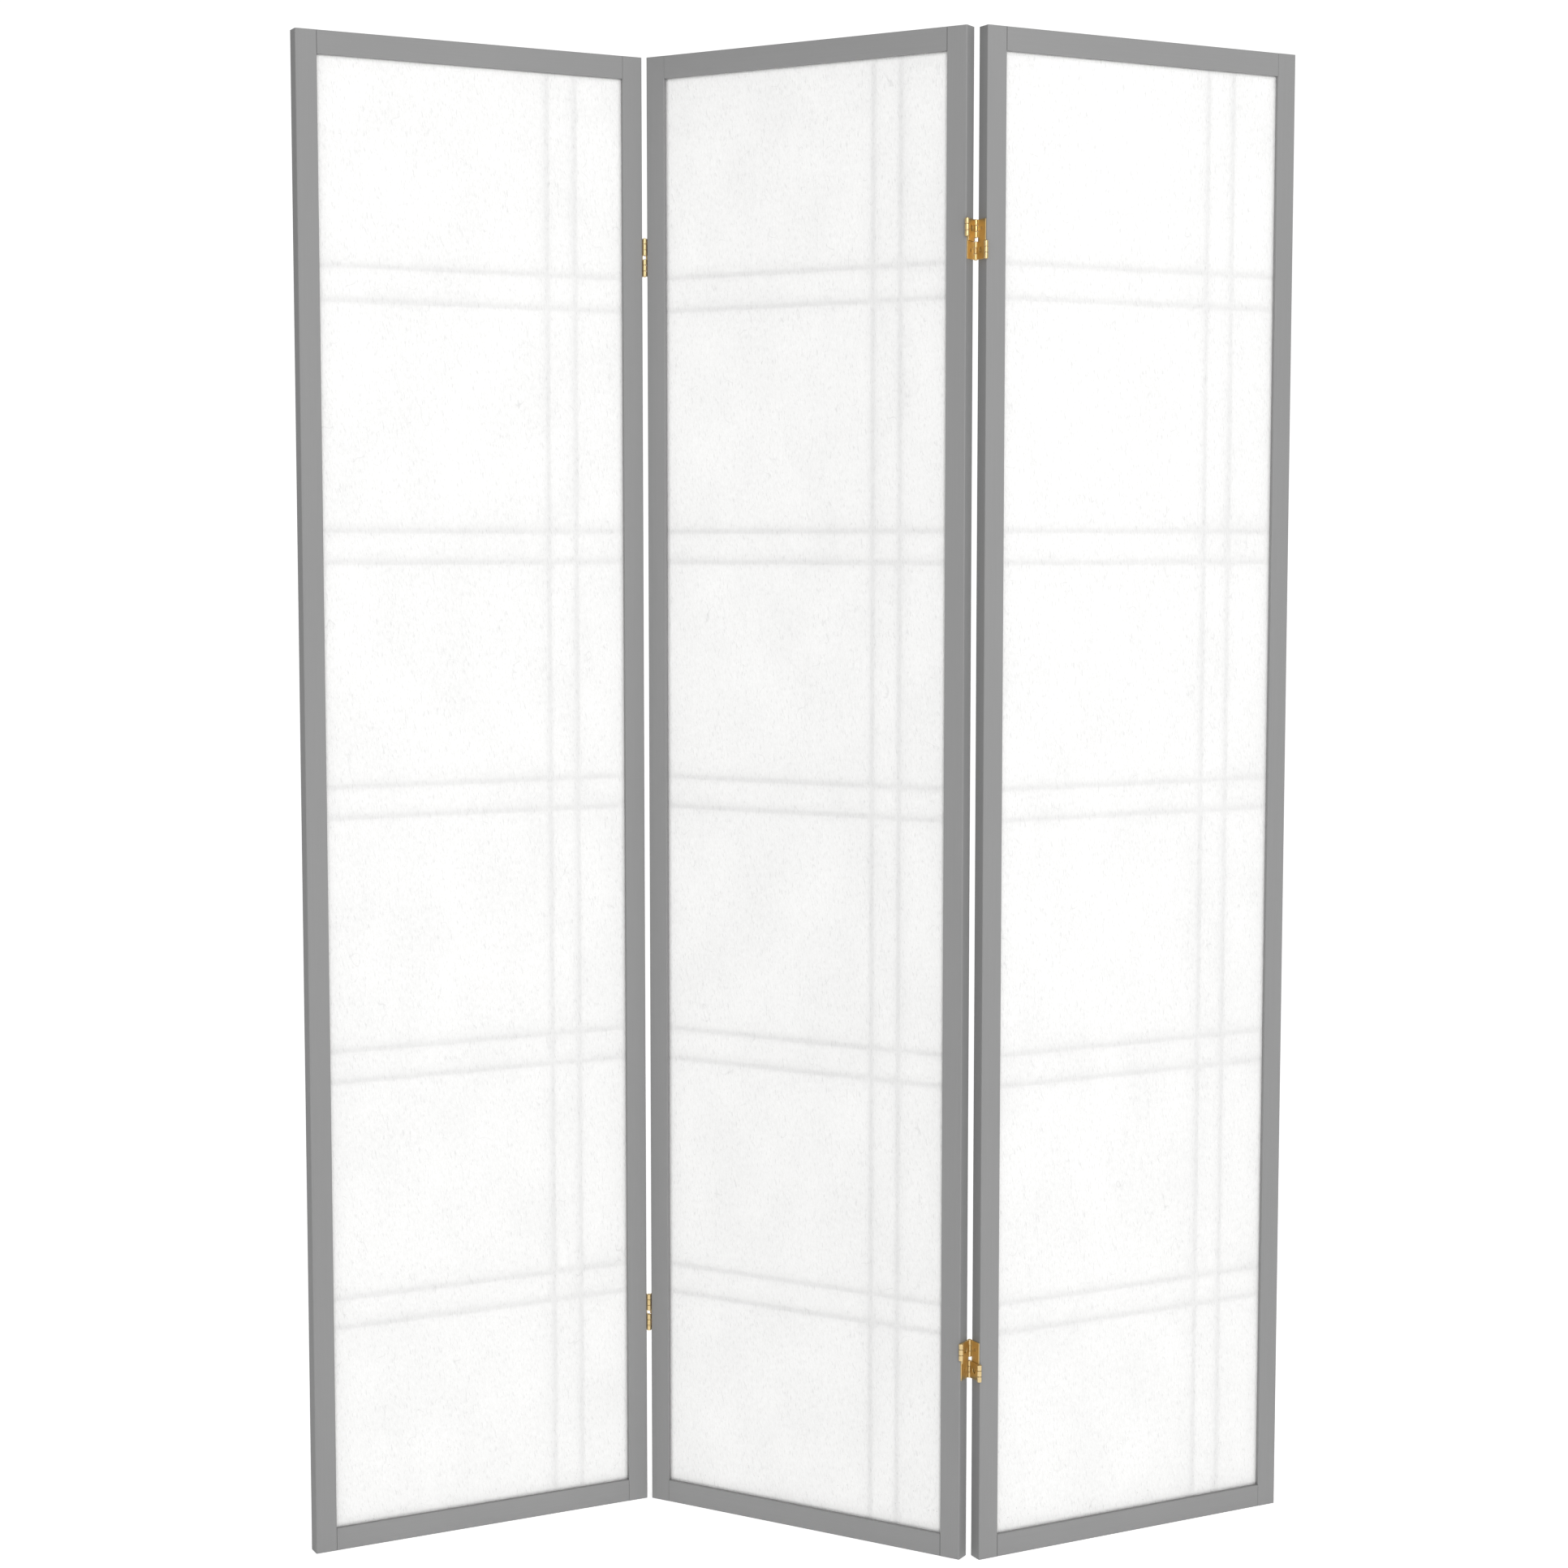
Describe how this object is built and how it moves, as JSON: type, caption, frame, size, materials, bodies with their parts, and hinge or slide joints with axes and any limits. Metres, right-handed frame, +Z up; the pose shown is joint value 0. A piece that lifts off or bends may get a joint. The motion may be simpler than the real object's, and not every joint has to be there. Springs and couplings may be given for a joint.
{
  "type": "folding shoji screen",
  "caption": "Free-standing folding room divider: hinged wooden frames filled with translucent paper over a double-cross lattice.",
  "frame": {"origin": "on the floor, at the middle of the footprint's bounding box", "axes": "+X along the screen, left to right from its plain side; +Y towards its lattice side; +Z up along the stiles"},
  "size_m": [1.1794, 0.2472, 1.7844],
  "materials": {
    "frame_paint": "satin grey paint over solid wood",
    "lattice_paint": "satin grey paint over solid wood",
    "paper": "matt translucent fibre paper",
    "brass": "polished",
    "screw_brass": "satin"
  },
  "bodies": {
    "middle_panel": {"middle_left_stile": "frame_paint", "middle_right_stile": "frame_paint", "middle_top_rail": "frame_paint", "middle_bottom_rail": "frame_paint", "middle_paper": "paper", "middle_upright_1": "lattice_paint", "middle_upright_2": "lattice_paint", "middle_cross_bars_1": "lattice_paint", "middle_cross_bars_2": "lattice_paint", "middle_cross_bars_3": "lattice_paint", "middle_cross_bars_4": "lattice_paint", "middle_cross_bars_5": "lattice_paint", "left_upper_hinge_upper_link": "brass", "left_upper_hinge_right_plate": "brass", "right_upper_hinge_left_plate": "brass", "right_upper_hinge_upper_link": "brass", "left_lower_hinge_upper_link": "brass", "left_lower_hinge_right_plate": "brass", "right_lower_hinge_left_plate": "brass", "right_lower_hinge_upper_link": "brass", "middle_hinge_pins": "brass", "middle_hinge_screws": "screw_brass"},
    "left_panel": {"left_outer_stile": "frame_paint", "left_hinge_stile": "frame_paint", "left_top_rail": "frame_paint", "left_bottom_rail": "frame_paint", "left_paper": "paper", "left_upright_1": "lattice_paint", "left_upright_2": "lattice_paint", "left_cross_bars_1": "lattice_paint", "left_cross_bars_2": "lattice_paint", "left_cross_bars_3": "lattice_paint", "left_cross_bars_4": "lattice_paint", "left_cross_bars_5": "lattice_paint", "left_upper_hinge_left_plate": "brass", "left_upper_hinge_lower_link": "brass", "left_lower_hinge_left_plate": "brass", "left_lower_hinge_lower_link": "brass", "left_hinge_pins": "brass", "left_hinge_screws": "screw_brass"},
    "right_panel": {"right_hinge_stile": "frame_paint", "right_outer_stile": "frame_paint", "right_top_rail": "frame_paint", "right_bottom_rail": "frame_paint", "right_paper": "paper", "right_upright_1": "lattice_paint", "right_upright_2": "lattice_paint", "right_cross_bars_1": "lattice_paint", "right_cross_bars_2": "lattice_paint", "right_cross_bars_3": "lattice_paint", "right_cross_bars_4": "lattice_paint", "right_cross_bars_5": "lattice_paint", "right_upper_hinge_lower_link": "brass", "right_upper_hinge_right_plate": "brass", "right_lower_hinge_lower_link": "brass", "right_lower_hinge_right_plate": "brass", "right_hinge_pins": "brass", "right_hinge_screws": "screw_brass"}
  },
  "joints": [
    {"name": "left_fold", "type": "hinge", "parent": "middle_panel", "child": "left_panel", "pos_m": [-0.19412, 0.10109, 0], "axis": [0, 0, 1], "range_deg": [-57.85, 122.15]},
    {"name": "right_fold", "type": "hinge", "parent": "middle_panel", "child": "right_panel", "pos_m": [0.1946, -0.10112, 0], "axis": [0, 0, 1], "range_deg": [-58, 122]}
  ]
}
